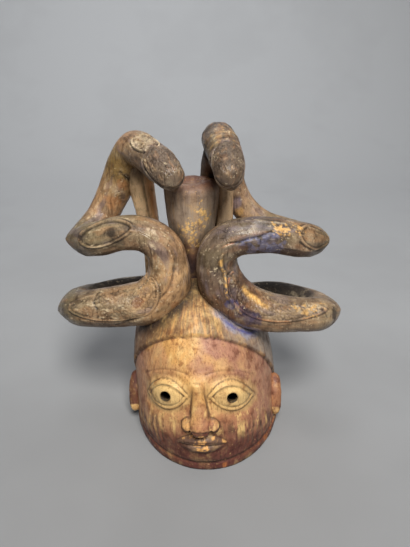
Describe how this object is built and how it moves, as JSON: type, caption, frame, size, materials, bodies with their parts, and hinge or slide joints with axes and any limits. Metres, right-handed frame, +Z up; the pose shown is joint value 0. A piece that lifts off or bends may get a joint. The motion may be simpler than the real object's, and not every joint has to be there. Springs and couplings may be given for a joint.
{
  "type": "helmet mask",
  "caption": "Carved wooden helmet mask: a hollow head with pierced eyes, ears and a close cap, topped by a flared column between winding snakes.",
  "frame": {"origin": "middle of the footprint, on the plane that the rim stands on", "axes": "+Z up through the crown, the face looks along -Y, +X to the right of someone facing the mask"},
  "size_m": [0.367, 0.2667, 0.3858],
  "materials": {
    "wood": "matte, aged, with worn paint"
  },
  "bodies": {
    "root": {"mask": "wood"}
  },
  "joints": []
}
